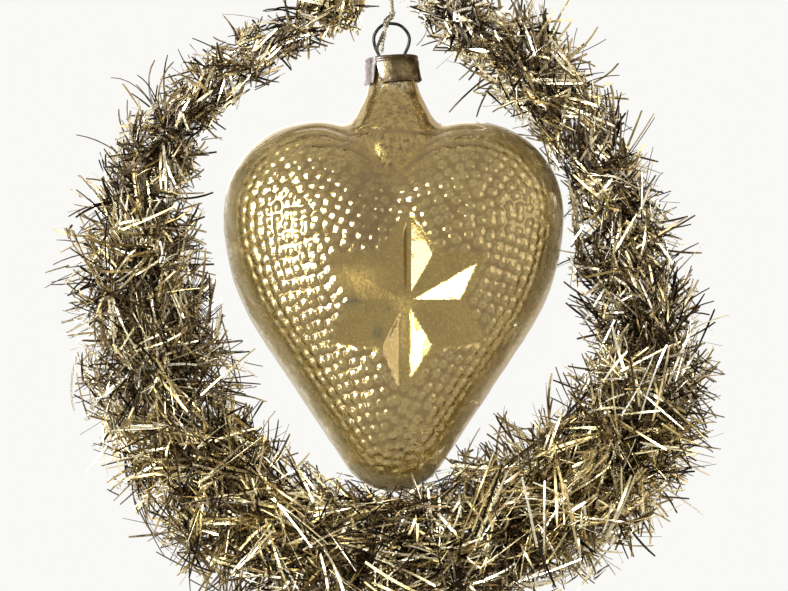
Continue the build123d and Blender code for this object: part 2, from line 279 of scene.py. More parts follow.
class Nodes:
    """A node tree whose nodes are added one by one, each fed with numbers or other sockets."""

    def __init__(self, tree):
        self.tree = tree

    def node(self, kind, inputs=None, **settings):
        made = self.tree.nodes.new("ShaderNode" + kind)
        for key, value in settings.items():
            setattr(made, key, value)
        for key, value in (inputs or {}).items():
            if isinstance(value, bpy.types.NodeSocket):
                self.tree.links.new(value, made.inputs[key])
            else:
                made.inputs[key].default_value = value
        return made

    def step(self, value, low, high, to_low=0.0, to_high=1.0):
        """value carried from low..high to to_low..to_high, held at both ends."""
        ends = {"From Min": low, "From Max": high, "To Min": to_low, "To Max": to_high}
        return self.node("MapRange", {"Value": value, **ends}).outputs["Result"]

    def mix(self, share, first, second):
        return self.node("Mix", {0: share, 6: first, 7: second}, data_type="RGBA").outputs[2]

    def math(self, operation, first, second=0.0):
        return self.node("Math", {0: first, 1: second}, operation=operation).outputs[0]

    def times(self, first, second):
        return self.math("MULTIPLY", first, second)

    def ramp(self, value, stops):
        """A colour ramp whose first and last stops lie at 0 and 1."""
        made = self.node("ValToRGB", {"Fac": value})
        elements = made.color_ramp.elements
        elements[0].color, elements[-1].color = rgb(*stops[0][1:]), rgb(*stops[-1][1:])
        for position, *colour in stops[1:-1]:
            elements.new(position).color = rgb(*colour)
        return made.outputs["Color"]


class Finish(Nodes):
    """A procedural material, its colours and bumps joined to its shader."""

    def __init__(self, name, **sockets):
        self.material = bpy.data.materials.new(name)
        self.material.use_nodes = True
        super().__init__(self.material.node_tree)
        self.shader = self.tree.nodes["Principled BSDF"]
        for key, value in sockets.items():
            self.shader.inputs[key.replace("_", " ")].default_value = value

    def place(self):
        return self.node("TexCoord").outputs["Object"]

    def noise(self, size_mm, detail=3.0, rough=0.55):
        """Noise with features about size_mm across."""
        shape = {"Scale": 1 / (size_mm * MM), "Detail": detail, "Roughness": rough}
        return self.node("TexNoise", {"Vector": self.place(), **shape}).outputs["Fac"]

    def attribute(self, name):
        return self.node("Attribute", attribute_name=name).outputs["Fac"]

    def bump(self, height, distance_mm, strength=1.0):
        made = self.node("Bump", {"Height": height, "Distance": distance_mm * MM, "Strength": strength})
        self.join(made.outputs["Normal"], "Normal")

    def join(self, socket, name):
        self.tree.links.new(socket, self.shader.inputs[name])

    def layered(self, colour, layers):
        """A colour under layers, each given by its share and its red, green and blue."""
        for share, *tone in layers:
            colour = self.mix(share, colour, rgb(*tone))
        return colour

    def tinted(self, colour, layers):
        """The base colour: a colour under layers."""
        self.join(self.layered(colour, layers), "Base Color")


def rgb(red, green, blue):
    return (red, green, blue, 1.0)


def silvered_glass():
    """Aged silvering under glass: champagne gold, flecked on the neck; paler and greyer towards the
    mould seam, a painted grazing reflection; painted shade in its gaps and hollows and painted
    highlights on pebbles and star.
    """
    metal = 0.92
    f = Finish("silvered_glass", Metallic=metal, Coat_Weight=1.0, Coat_Roughness=0.045, Coat_IOR=1.75)
    f.shader.inputs["Specular Tint"].default_value = rgb(0.80, 0.71, 0.58)
    rim, neck, star, valley = (f.attribute(mark) for mark in ("rim", "neck", "star", "valley"))
    drift = f.step(f.noise(11, 2), 0.35, 0.68)
    plain = f.mix(drift, rgb(0.39, 0.266, 0.062), rgb(0.465, 0.335, 0.094))
    speckle = f.noise(0.55, 2, 0.7)
    # painted shade: darker brown in the gaps between the pebbles, in patches
    gap_shade_patches = f.times(valley, f.step(f.noise(5.0, 3), 0.3, 0.6, 0.35, 0.75))
    champagne = f.layered(
        plain,
        [
            (f.step(f.noise(2.4, 4, 0.6), 0.5, 0.72, 0, 0.6), 0.28, 0.185, 0.05),
            (f.step(speckle, 0.55, 0.7, 0, 0.7), 0.68, 0.55, 0.25),
            (f.step(speckle, 0.42, 0.30, 0, 0.6), 0.17, 0.11, 0.035),
            # painted highlight: a pale ring round each pebble
            (f.times(f.attribute("ring"), 0.42), 0.68, 0.58, 0.33),
            (gap_shade_patches, 0.23, 0.145, 0.045),
        ],
    )
    # painted grazing reflection: paler, greyer streaks towards the outline
    streaks = f.step(f.noise(0.8, 3, 0.7), 0.35, 0.65, 0.6, 1.0)
    paler = f.step(f.noise(3.2, 5, 0.65), 0.42, 0.6)
    rim_reflection_tone = f.mix(paler, rgb(0.63, 0.54, 0.39), rgb(0.47, 0.365, 0.22))
    colour = f.mix(f.times(rim, streaks), champagne, rim_reflection_tone)
    colour = f.mix(f.times(f.attribute("seam"), 0.55), colour, rgb(0.22, 0.145, 0.065))
    browner = f.step(f.noise(1.5, 5, 0.7), 0.40, 0.60)
    amber = f.mix(browner, rgb(0.50, 0.355, 0.10), rgb(0.25, 0.155, 0.045))
    colour = f.mix(f.times(neck, 0.75), colour, amber)
    # pale patches just below the cap, where the glass is lumpy, given in colour only, and dark flecks
    # that gather in places
    height = f.node("SeparateXYZ", {0: f.place()}).outputs[2]
    lumps = f.times(neck, f.step(height, -33.5 * MM, -31.0 * MM))
    lumps = f.times(lumps, f.step(f.noise(0.9, 4, 0.6), 0.5, 0.62, 0, 0.75))
    gathered = f.times(neck, f.step(f.noise(3.4, 2), 0.42, 0.56, 0.1, 1.0))
    flecks = f.step(f.noise(0.75, 6, 0.75), 0.54, 0.6)
    creased = f.step(f.noise(1.7, 4, 0.65), 0.4, 0.6, 0.3, 0.85)
    patchy = f.step(f.noise(0.7, 3, 0.7), 0.38, 0.6, 0.25, 1.0)
    f.tinted(
        colour,
        [
            (lumps, 0.78, 0.75, 0.66),
            (f.times(flecks, gathered), 0.13, 0.072, 0.02),
            # painted shade under the neck and in a patch left of the star's upper ray
            (f.times(f.attribute("hollow"), creased), 0.21, 0.13, 0.042),
            # painted shade in the creases and in the fold round the neck's foot
            (f.times(f.attribute("crease"), 0.8), 0.22, 0.135, 0.05),
            # painted shade over the pressed star
            (f.times(star, 0.4), 0.34, 0.24, 0.062),
            # painted reflection: brighter gold on some of the star's facets
            (f.times(f.attribute("gilt"), patchy), 0.72, 0.52, 0.16),
            (f.times(f.attribute("tarnish"), patchy), 0.13, 0.14, 0.06),
        ],
    )
    rough = f.step(f.noise(1.3, 3), 0.3, 0.75, 0.11, 0.22)
    rough = f.math("SUBTRACT", rough, f.times(star, 0.03))
    f.join(f.math("ADD", rough, f.times(f.attribute("flank"), 0.13)), "Roughness")
    f.join(f.math("SUBTRACT", metal, f.times(rim, 0.5)), "Metallic")
    f.bump(f.math("ADD", f.noise(0.5, 3, 0.6), f.times(f.noise(1.6, 2), 1.5)), 0.05, 0.7)
    return f.material


def pressed_tin():
    """Thin tin: lilac silver on one side, beige brown on the other, dark at its edges, and a painted
    highlight beside the front slit.
    """
    f = Finish("tin_cap", Metallic=0.95)
    east, depth, height = f.node("SeparateXYZ", {0: f.place()}).outputs
    worn = f.step(east, -3.3 * MM, -1.6 * MM)
    lilac = f.mix(f.step(f.noise(0.6, 3), 0.4, 0.66), rgb(0.50, 0.425, 0.43), rgb(0.30, 0.24, 0.25))
    browner = f.step(f.noise(1.4, 4, 0.6), 0.4, 0.62)
    beige = f.mix(browner, rgb(0.27, 0.205, 0.115), rgb(0.13, 0.092, 0.045))
    soot = f.times(worn, f.step(height, -28.0 * MM, -26.3 * MM, 0.1, 0.95))
    hem = f.times(worn, f.step(height, -29.6 * MM, -30.3 * MM, 0.0, 0.8))
    soot = f.times(f.math("MAXIMUM", soot, hem), f.step(f.noise(0.9, 5, 0.65), 0.35, 0.52, 0.4, 1.0))
    # a painted highlight: a bright strip beside the front slit
    beside = f.math("ABSOLUTE", f.math("ADD", east, 3.95 * MM))
    slit_highlight = f.times(f.step(beside, 0.42 * MM, 0.24 * MM), f.step(depth, -3.0 * MM, -3.6 * MM))
    slit_highlight = f.times(slit_highlight, f.step(f.noise(0.8, 3), 0.3, 0.5, 0.5, 1.0))
    f.tinted(
        f.mix(worn, lilac, beige),
        [
            (soot, 0.06, 0.038, 0.018),
            (f.step(f.noise(0.4, 3, 0.7), 0.6, 0.7, 0, 0.7), 0.08, 0.055, 0.03),
            (slit_highlight, 0.98, 0.96, 0.93),
        ],
    )
    f.join(f.step(f.noise(0.9, 4), 0.3, 0.7, 0.24, 0.46), "Roughness")
    f.bump(f.math("ADD", f.noise(0.7, 4, 0.6), f.noise(2.1, 2)), 0.12, 0.8)
    return f.material


def aged_wire(name, bright, dull, tarnish, size_mm):
    """Drawn wire with dull patches, dark tarnish and fine drawing marks."""
    f = Finish(name, Metallic=0.92)
    patches = f.step(f.noise(size_mm, 4, 0.6), 0.4, 0.62)
    stains = f.step(f.noise(size_mm * 0.4, 4, 0.65), 0.56, 0.68, 0, 0.85)
    f.tinted(rgb(*bright), [(patches, *dull), (stains, *tarnish)])
    f.join(f.step(f.noise(size_mm * 0.6, 3), 0.3, 0.7, 0.26, 0.5), "Roughness")
    f.bump(f.noise(0.18, 3, 0.7), 0.02, 0.6)
    return f.material


def metal_thread(name, dark, light):
    """Yarn wrapped with thin metal foil: light and dark along every ply."""
    f = Finish(name, Metallic=0.45, Roughness=0.42, Sheen_Weight=0.25)
    lit = f.step(f.noise(0.28, 3, 0.6), 0.38, 0.62)
    worn = f.step(f.noise(1.5, 2), 0.5, 0.7, 0, 0.5)
    f.tinted(rgb(*dark), [(lit, *light), (worn, *dark)])
    f.bump(f.noise(0.12, 2), 0.03, 0.8)
    return f.material


# the darkest stops stand partly for tarnish and partly for painted shade between the strips
SILVER_TONES = (
    (0.0, 0.014, 0.011, 0.009),
    (0.24, 0.07, 0.053, 0.04),
    (0.45, 0.36, 0.30, 0.235),
    (0.7, 0.82, 0.78, 0.70),
    (1.0, 0.98, 0.97, 0.95),
)
GOLD_TONES = (
    (0.0, 0.016, 0.011, 0.007),
    (0.24, 0.10, 0.065, 0.028),
    (0.45, 0.41, 0.31, 0.125),
    (0.7, 0.77, 0.65, 0.35),
    (1.0, 0.97, 0.91, 0.70),
)


def tinsel_foil():
    """Foil strips, silver to gold: each has its own tone, near black to nearly white; the darkest tones
    are partly tarnish and partly painted shade between the strips.
    """
    f = Finish("tinsel", Metallic=0.95)
    drift = f.step(f.noise(2.6, 3), 0.3, 0.7, -0.08, 0.08)
    tone = f.math("ADD", f.attribute("tone"), drift)
    foil_colour = f.mix(f.attribute("gold"), f.ramp(tone, SILVER_TONES), f.ramp(tone, GOLD_TONES))
    spots = f.step(f.noise(0.7, 4, 0.65), 0.6, 0.72, 0, 0.55)
    f.tinted(foil_colour, [(spots, 0.10, 0.065, 0.035)])
    f.join(f.step(f.noise(1.1, 3), 0.3, 0.7, 0.13, 0.36), "Roughness")
    f.bump(f.noise(0.5, 2), 0.04, 0.5)
    return f.material


# ---- the heart's surface ----

side_x = LOBE_X + LOBE_R - SIDE_R
flank_x = side_x + SIDE_R * math.cos(LEAN)
flank_z = LOBE_Z - SIDE_R * math.sin(LEAN)
tip_z = (TIP_R - math.cos(LEAN) * flank_x + math.sin(LEAN) * flank_z) / math.sin(LEAN)
notch_z = LOBE_Z + math.sqrt((LOBE_R + NOTCH_R) ** 2 - LOBE_X**2)
lobe_start = math.asin((notch_z - LOBE_Z) / (LOBE_R + NOTCH_R))


def arc(cx, cz, r, start, end):
    """Points of an arc in the XZ plane, a tenth of a millimetre apart, angles in radians."""
    a = np.linspace(start, end, max(3, int(abs(end - start) * r / 0.1)))
    return np.stack([cx + r * np.cos(a), cz + r * np.sin(a)], 1)


def half_outline():
    """The right half of the heart's outline, from the notch down to the tip."""
    quarter = math.pi / 2
    flank_top = np.array([flank_x, flank_z])
    flank_end = np.array([TIP_R * math.cos(LEAN), tip_z - TIP_R * math.sin(LEAN)])
    along = np.linspace(0, 1, 240)[:, None]
    return np.concatenate(
        [
            arc(0, notch_z, NOTCH_R, -quarter, -lobe_start),
            arc(LOBE_X, LOBE_Z, LOBE_R, math.pi - lobe_start, 0),
            arc(side_x, LOBE_Z, SIDE_R, 0, -LEAN),
            flank_top + (flank_end - flank_top) * along,
            arc(0, tip_z, TIP_R, -LEAN, -quarter),
        ]
    )


right_half = half_outline()
outline_deg = np.degrees(np.arctan2(right_half[:, 1] - POLE_Z, right_half[:, 0]))
outline_reach = np.hypot(right_half[:, 0], right_half[:, 1] - POLE_Z)
reach_order = np.argsort(outline_deg)
reach_deg, reach_mm = outline_deg[reach_order], outline_reach[reach_order]


def reach_towards(x, z):
    """How far the outline lies from the pole, in the direction of a point."""
    deg = np.degrees(np.arctan2(z - POLE_Z, np.abs(x) + 1e-9))
    return np.interp(deg, reach_deg, reach_mm)


def heart_share(x, z):
    """0 at the fattest point, 1 on the outline."""
    return np.hypot(x, z - POLE_Z) / reach_towards(x, z)


def face_depth(x, z):
    """How far each face lies from the seam plane."""
    return HALF_DEPTH * np.sqrt(np.clip(1 - heart_share(x, z) ** RIM_POWER, 0, 1))


neck_profile = np.concatenate(
    [
        [[-20.0, 4.25], [NECK_TOP_Z, 4.35], [-30.6, 4.75], [-32.6, 5.32], [-34.7, 6.25]],
        [[-36.6, 7.32], [-38.4, 8.45], [-39.6, 9.15], [-40.5, 9.62], [-41.6, 10.12]],
        [[-43.1, 10.71], [-45.0, 11.18], [SHOULDER_Z, SHOULDER_R]],
    ]
)[::-1]


def neck_radius(z):
    """The neck's outer radius, down to the middle of its shoulder."""
    return np.interp(z, neck_profile[:, 0], neck_profile[:, 1])


def heart_level(p):
    """Below 0 inside the heart's body; not a distance."""
    share = heart_share(p[:, 0], p[:, 2])
    return share**RIM_POWER + (p[:, 1] / HALF_DEPTH) ** 2 - 1


def neck_gap(p):
    """Rough distance to the neck and its round shoulder."""
    around = np.hypot(p[:, 0], p[:, 1])
    wall = (around - neck_radius(p[:, 2])) * 0.88
    ball = np.sqrt(around**2 + (p[:, 2] - SHOULDER_Z) ** 2) - SHOULDER_R
    return np.where(p[:, 2] > SHOULDER_Z, wall, ball)


def slopes(function, p, step=0.02):
    """The gradient of a function of points."""
    out = np.zeros_like(p)
    for axis in range(3):
        move = np.zeros(3)
        move[axis] = step
        out[:, axis] = (function(p + move) - function(p - move)) / (2 * step)
    return out


def body_gap(p):
    """Rough distance to the heart's body, without its neck."""
    return heart_level(p) / np.maximum(np.linalg.norm(slopes(heart_level, p), axis=1), 1e-3)


def heart_gap(p):
    """Distance to the smooth union of the heart's body and its neck."""
    return smooth_min(body_gap(p), neck_gap(p), NECK_HOLLOW)


def pebble_centres():
    """Centres of the pressed pebbles, in rows that follow the outline."""
    outline = np.concatenate([right_half[:-1], (right_half * (-1, 1))[::-1][:-1]])
    ahead = unit(np.roll(outline, -1, 0) - np.roll(outline, 1, 0))
    inward = np.stack([ahead[:, 1], -ahead[:, 0]], 1)
    # rows are evenly spaced over the curved face, so they crowd towards the outline from in front
    depth_at = np.linspace(0, DEEPEST_ROW + 1, 600)
    profile = HALF_DEPTH * np.sqrt(np.clip(1 - (1 - depth_at / FACE_REACH) ** RIM_POWER, 0, 1))
    run = run_along(np.stack([depth_at, profile], 1))
    centres, row = [], 0
    while True:
        depth = np.interp(FIRST_ROW + row * PEBBLE_ROW, run, depth_at)
        inner = outline + inward * depth
        away = np.array([np.min(np.hypot(*(outline[::3] - q).T)) for q in inner])
        inner = inner[away > depth - 0.06]  # no loops where the offset line folds over itself
        if len(inner) < 20 or depth > DEEPEST_ROW:
            return np.array(centres)
        along = run_along(inner)
        count = max(3, int(round(along[-1] / PEBBLE_PITCH)))
        at = (np.arange(count) + 0.5 * (row % 2) + draw.uniform(-0.2, 0.2, count)) / count
        x = np.interp(at * along[-1], along, inner[:, 0]) + draw.normal(0, 0.12, count)
        z = np.interp(at * along[-1], along, inner[:, 1]) + draw.normal(0, 0.12, count)
        centres += [(a, float(face_depth(a, b)), b) for a, b in zip(x, z)]
        row += 1


def star_depth(x, z, front):
    """Depth of the pressed star's facets, and how far outside its outline a point is."""
    dx, dz = x - STAR_X, z - STAR_Z
    angle = np.degrees(np.arctan2(dz, dx)) - 90
    ray = np.round(angle / 60)
    off = np.radians(angle - ray * 60)  # positive is counterclockwise of the ray
    away = np.hypot(dx, dz)
    along, aside = away * np.cos(off), away * np.sin(off)
    centre = float(face_depth(STAR_X, STAR_Z)) - STAR_DEPTH
    tip_angle = np.radians(90 + ray * 60)
    notch_angle = tip_angle + np.radians(30) * np.sign(aside + 1e-9)
    tip, notch = (
        face_depth(STAR_X + r * np.cos(a), STAR_Z + r * np.sin(a))
        for r, a in ((STAR_TIP_R, tip_angle), (STAR_NOTCH_R, notch_angle))
    )
    notch_along, notch_aside = STAR_NOTCH_R * math.cos(math.pi / 6), STAR_NOTCH_R * 0.5
    rise = (tip - centre) / STAR_TIP_R
    lift = notch - centre - rise * notch_along
    u = np.abs(aside)
    middle = centre + rise * along
    depth = middle + lift * u / notch_aside
    # the upper ray's left wall is steep at its foot, and the lower ray's left half has a flat floor
    wall, steepness, floor = 1.15, 1.15, 1.8
    steep = middle + np.minimum(u, wall) * steepness
    steep = steep + np.maximum(u - wall, 0) * (lift - wall * steepness) / (notch_aside - wall)
    flat = middle + np.maximum(u - floor, 0) * lift / (notch_aside - floor)
    depth = np.where(front & (ray == 0) & (aside > 0), steep, depth)
    depth = np.where(front & (np.abs(ray) == 3) & (dx < 0), flat, depth)
    # distance outside the edge from notch to tip
    edge = np.array([STAR_TIP_R - notch_along, -notch_aside])
    normal = np.array([-edge[1], edge[0]]) / np.linalg.norm(edge)
    return depth, (along - STAR_TIP_R) * normal[0] + u * normal[1]


def shell_half(side):
    """The front or the back of the heart's body, as rings from the outline to the middle."""
    outline = np.concatenate([right_half[::6], (right_half[::6] * (-1, 1))[::-1]])
    rings = []
    for share in np.sin(np.linspace(0, math.pi / 2, 34))[::-1]:
        ring = np.array([0, POLE_Z]) + (outline - np.array([0, POLE_Z])) * share
        y = side * HALF_DEPTH * math.sqrt(max(0.0, 1 - share**RIM_POWER))
        rings.append(np.stack([ring[:, 0], np.full(len(ring), y), ring[:, 1]], 1))
    faces = quads(len(rings), len(outline))
    return np.concatenate(rings), [face[::-side] for face in faces]


def neck_cup():
    """The neck as a cup: outer wall, lip, inner wall and a floor inside the heart."""
    outer = [(z, r) for z, r in neck_profile if z <= NECK_TOP_Z][::-1]
    inner = [(z, r - GLASS) for z, r in neck_profile if NECK_FLOOR_Z <= z <= NECK_TOP_Z]
    bottom = [
        (SHOULDER_Z - SHOULDER_R * math.sin(a), SHOULDER_R * math.cos(a))
        for a in np.linspace(0.1, 1.5, 12)
    ]
    profile = inner + outer + bottom
    sides = 96
    points = [(0.0, 0.0, NECK_FLOOR_Z)]
    for z, r in profile:
        for k in range(sides):
            points.append((r * math.cos(k / sides * TAU), r * math.sin(k / sides * TAU), z))
    points.append((0.0, 0.0, SHOULDER_Z - SHOULDER_R))
    last = len(points) - 1 - sides
    faces = [[1 + a, 1 + d, 1 + c, 1 + b] for a, b, c, d in quads(len(profile), sides)]
    for k in range(sides):
        m = (k + 1) % sides
        faces.append([0, 1 + k, 1 + m])
        faces.append([len(points) - 1, last + m, last + k])
    return np.array(points), faces


def base_heart():
    """A first mesh of heart and hollow neck, remeshed to even cells."""
    points, faces = join_parts([shell_half(-1), shell_half(1), neck_cup()])
    mesh = bpy.data.meshes.new("heart_base")
    mesh.from_pydata(points.tolist(), [], faces)
    holder = add_object("heart_base", mesh)
    remesh = holder.modifiers.new("remesh", "REMESH")
    remesh.mode = "VOXEL"
    remesh.voxel_size = HEART_VOXEL
    apply_modifiers(holder)
    made = holder.data
    co = np.zeros(len(made.vertices) * 3)
    made.vertices.foreach_get("co", co)
    faces = [list(polygon.vertices) for polygon in made.polygons]
    bpy.data.objects.remove(holder)
    bpy.data.meshes.remove(made)
    return co.reshape(-1, 3), faces


def patches(p, spots):
    """How strongly soft patches on the front face lie over each point."""
    total = np.zeros(len(p))
    for x, z, half_x, half_z in spots:
        total += np.exp(-(((p[:, 0] - x) / half_x) ** 2) - ((p[:, 2] - z) / half_z) ** 2)
    return np.clip(total * 1.4, 0, 1) * (p[:, 1] < -5)


def fitted(p, free):
    """The free points moved on to the smooth surface."""
    for _ in range(4):
        q = p[free]
        slope = slopes(heart_gap, q, 0.04)
        size = np.maximum((slope**2).sum(1), 0.25)
        p[free] = q - np.clip(heart_gap(q) / size, -0.6, 0.6)[:, None] * slope
    return p


def pebbles(p):
    """For each point its pebble's height and dome, and how far off the pebble's middle it is."""
    centres = pebble_centres()
    tree = KDTree(len(centres))
    for i, c in enumerate(centres):
        tree.insert(c, i)
    tree.balance()
    nearest = np.array([tree.find((a, abs(b), c))[1:] for a, b, c in p])
    which, distance = nearest[:, 0].astype(int), nearest[:, 1]
    size_of = draw.uniform(0.9, 1.1, len(centres))[which]
    height_of = draw.uniform(0.75, 1.2, len(centres))[which]
    off_middle = distance / (PEBBLE_R * size_of)
    return height_of, np.clip(1 - off_middle**2.3, 0, 1), off_middle


CREASES = ((1.9, 0.5), (3.7, 0.45), (5.7, 0.5))  # distance in from the outline, half width
# soft patches on the front face: x and z of the middle, half width, half height
# patches of painted reflection on the star's facets
FACET_REFLECTION_SPOTS = ((-7.2, -69.6, 4.2, 1.9), (1.9, -74.8, 1.8, 1.3), (2.0, -80.3, 0.8, 4.2))
TARNISH_SPOTS = ((-8.3, -74.2, 1.7, 0.8), (-3.0, -80.3, 0.9, 1.1), (-1.0, -75.8, 0.4, 0.4))
# a patch of painted shade left of the star's upper ray
PAINTED_SHADE_SPOTS = ((-5.5, -57.5, 6.0, 8.0),)


def heart_shape():
    """Points, faces and surface marks of the finished heart."""
    p, faces = base_heart()
    around = np.hypot(p[:, 0], p[:, 1])
    hollow = (p[:, 2] > NECK_FLOOR_Z - 0.3) & (around < neck_radius(p[:, 2]) - GLASS * 0.5)
    hollow = hollow & (heart_level(p) > -0.2)
    free = ~(hollow | (p[:, 2] > NECK_TOP_Z - 0.3))
    p = fitted(p, free)
    normal = unit(slopes(heart_gap, p, 0.06))
    x, y, z = p.T
    rim_gap = (1 - heart_share(x, z)) * reach_towards(x, z)
    on_neck = smoothstep(body_gap(p), 0.25, 1.2)  # 1 on the neck, 0 on the faces
    on_body = 1 - on_neck
    under_neck = np.exp(-((x / 7.2) ** 4) - ((z + 45.0) / 5.6) ** 4)
    star_y, star_out = star_depth(x, z, y < 0)
    in_star = smoothstep(star_out, 0.7, -0.1)

    height_of, dome, off_middle = pebbles(p)
    arc_run = np.sqrt(np.clip(rim_gap, 0, None) * 9)  # grows fast near the seam, as the surface does
    fade = smoothstep(arc_run, 4.4, 7.4) * on_body * (1 - np.clip(under_neck * 1.3, 0, 1))
    fade = fade * smoothstep(star_out, 0.2, 1.1)
    lift = PEBBLE_H * height_of * dome * fade

    # fine ridges beside the seam
    ridges = np.sin(TAU * (np.abs(y) + rim_gap * 0.5) / 1.3 + 5.5 * noise3(p, 5.0, 3))
    broken = smoothstep(noise3(p, 7.0, 29), -0.5, 0.5) * smoothstep(rim_gap, 6.0, 1.5)
    lift += 0.042 * ridges * broken * on_body * smoothstep(z, -107, -98)
    # creases that follow the outline under the shoulders; their darkness in the colour is painted shade
    shoulder = smoothstep(z, -54, -46) * smoothstep(np.abs(x), 24, 14) * on_body
    crease = np.zeros(len(p))
    for depth, width in CREASES:
        groove = bell(rim_gap + 0.5 * noise3(p, 3.5, 5) - depth, width)
        lift -= 0.28 * groove * shoulder * (1 - np.clip(under_neck, 0, 1))
        crease += groove * shoulder
    # crinkles below the neck, a fold round its foot, and waves all over
    crinkles = 0.15 * noise3(p, 1.5, 7) + 0.07 * noise3(p, 0.9, 8)
    lift += crinkles * np.clip(under_neck * 1.2, 0, 1) * on_body
    lift += 0.05 * noise3(p, 2.6, 11)
    fold = bell(z + 41.0 + 0.5 * noise3(p, 4, 13), 0.55) * smoothstep(np.abs(x), 10.5, 8.5)
    lift -= 0.22 * fold * smoothstep(np.abs(y), 3, 6)
    below_cap = smoothstep(z, NECK_TOP_Z - 4, NECK_TOP_Z - 6)
    lift += 0.09 * noise3(p * (1, 1, 0.45), 1.3, 17) * on_neck * below_cap
    lift += 0.1 * bell(y, 0.35) * on_body * smoothstep(rim_gap, 3, 0)  # the mould's seam
    p = p + normal * (lift * free)[:, None]

    # the star is pressed in with softly rounded edges
    out = np.abs(p[:, 1])
    facet = star_y + 0.024 * noise3(p, 1.8, 19) + 0.007 * noise3(p, 0.9, 23)
    near_star = free & (star_out < 1.5) & (out > 8)
    p[:, 1] = np.where(near_star, np.sign(p[:, 1]) * smooth_min(out, facet, 0.35), p[:, 1])

    on_rim = smoothstep(rim_gap, 5.2, 0.8) * (1 - on_neck * 0.7)
    marks = {
        # painted shade in the gaps between the pebbles
        "valley": (1 - dome) * fade * (1 - in_star) * smoothstep(rim_gap, 5, 10),
        # painted shade in the creases and the fold
        "crease": crease + 0.7 * fold,
        # painted grazing reflection towards the outline, weaker near the top
        "rim": on_rim * (1 - 0.45 * smoothstep(z, -56, -48)),
        "flank": smoothstep(rim_gap, 10, 4) * on_body,
        "seam": bell(y, 0.42) * smoothstep(rim_gap, 2.5, 1.0) * on_body,
        "neck": on_neck,
        # painted highlight ring round each pebble
        "ring": bell(off_middle - 0.62, 0.2) * fade * (1 - in_star),
        # painted shade under the neck and in the patch above
        "hollow": np.clip(under_neck + patches(p, PAINTED_SHADE_SPOTS), 0, 1) * on_body,
        # painted shade in the pressed star
        "star": in_star * (out > 8),
        # painted reflection on some star facets
        "gilt": patches(p, FACET_REFLECTION_SPOTS),
        "tarnish": patches(p, TARNISH_SPOTS),
    }
    return p, faces, {name: np.clip(mark, 0, 1) for name, mark in marks.items()}


# ---- the garland's core ----

# x and z of its control points
CORE_ROUTE = [
    (0, -8.9), (6, -12.6), (27, -27), (41, -49), (47, -70),
    (52, -89), (44.5, -107.5), (24, -119.5), (-5, -125.5), (-28, -121),
    (-45.5, -101), (-52.5, -67), (-49.5, -44), (-34.5, -28.5), (-6, -12.3),
]
CORE_STEP = 0.5
core_controls = [(x, 0, z) for x, z in CORE_ROUTE]
core_line = evenly(nurbs_line(core_controls, 24, cyclic=True), CORE_STEP, closed=True)
core_line = np.roll(core_line, -int(np.argmax(core_line[:, 2])), 0)
if core_line[10, 0] < 0:  # clockwise from the top
    core_line = np.roll(core_line[::-1], 1, 0)
seam_gap = np.linalg.norm(core_line[0] - core_line[-1])
core_length = float((len(core_line) - 1) * CORE_STEP + seam_gap)


def core_at(run):
    """Points on the core and its direction there, a run clockwise from the top."""
    at = (np.asarray(run) / core_length % 1) * len(core_line)
    low = np.floor(at).astype(int) % len(core_line)
    share = (at - np.floor(at))[..., None]
    high = (low + 1) % len(core_line)
    ahead = unit(core_line[(low + 3) % len(core_line)] - core_line[low - 3])
    return core_line[low] * (1 - share) + core_line[high] * share, ahead


# ---- heart ----

make_piece("heart_skin", heart_shape(), silvered_glass(), "heart", "silvered_glass", "glass_heart")

# ---- tin cap ----

CAP_X, CAP_TOP_Z, CAP_TILT = -0.4, -25.4, math.radians(4)
CAP_R, CAP_SKIRT_R, CAP_H, CAP_CORNER, CAP_DISH, TIN = 5.3, 5.5, 5.2, 0.5, 0.14, 0.25
CAP_SLITS_DEG = (-126, -22, 70, 160)
SLIT_H, SLIT_W = 4.3, 2.2
CLIP_HOLE_R, CLIP_HOLE_OFF = 0.5, 2.4  # the holes for the clip's legs, and how far off the middle


def skirt_rows(start, span, share):
    """One skirt of the cap between two slits, as rows of points from its shoulder down."""
    heights = np.concatenate([np.linspace(0, CAP_CORNER, 6), np.linspace(0.62, CAP_H, 34)])
    near_slit = np.exp(-np.minimum(share, 1 - share) * span * CAP_SKIRT_R / 0.55)
    rows = []
    for down in heights:
        opening = max(0.0, down - (CAP_H - SLIT_H)) / SLIT_H
        half = opening * SLIT_W / 2 / CAP_SKIRT_R
        angle = start + half + share * (span - 2 * half)
        corner = math.sqrt(max(0.0, CAP_CORNER**2 - (CAP_CORNER - min(down, CAP_CORNER)) ** 2))
        q = np.stack([np.cos(angle) * 5, np.sin(angle) * 5, np.full(len(share), down)], 1)
        dents = 0.09 * noise3(q, 1.7, 31) + 0.05 * noise3(q, 0.8, 37)
        radius = CAP_R - CAP_CORNER + corner + (CAP_SKIRT_R - CAP_R) * down / CAP_H
        radius = radius + 0.3 * opening * near_slit + min(1.0, down / 0.8) * dents
        radius = radius - 0.16 * bell(down - 0.85, 0.22)  # the pressed groove
        uneven = 0.16 * noise3(q * (1, 1, 0), 1.5, 41) * (down / CAP_H) ** 3
        rows.append(np.stack([radius * np.cos(angle), radius * np.sin(angle), uneven - down], 1))
    return rows


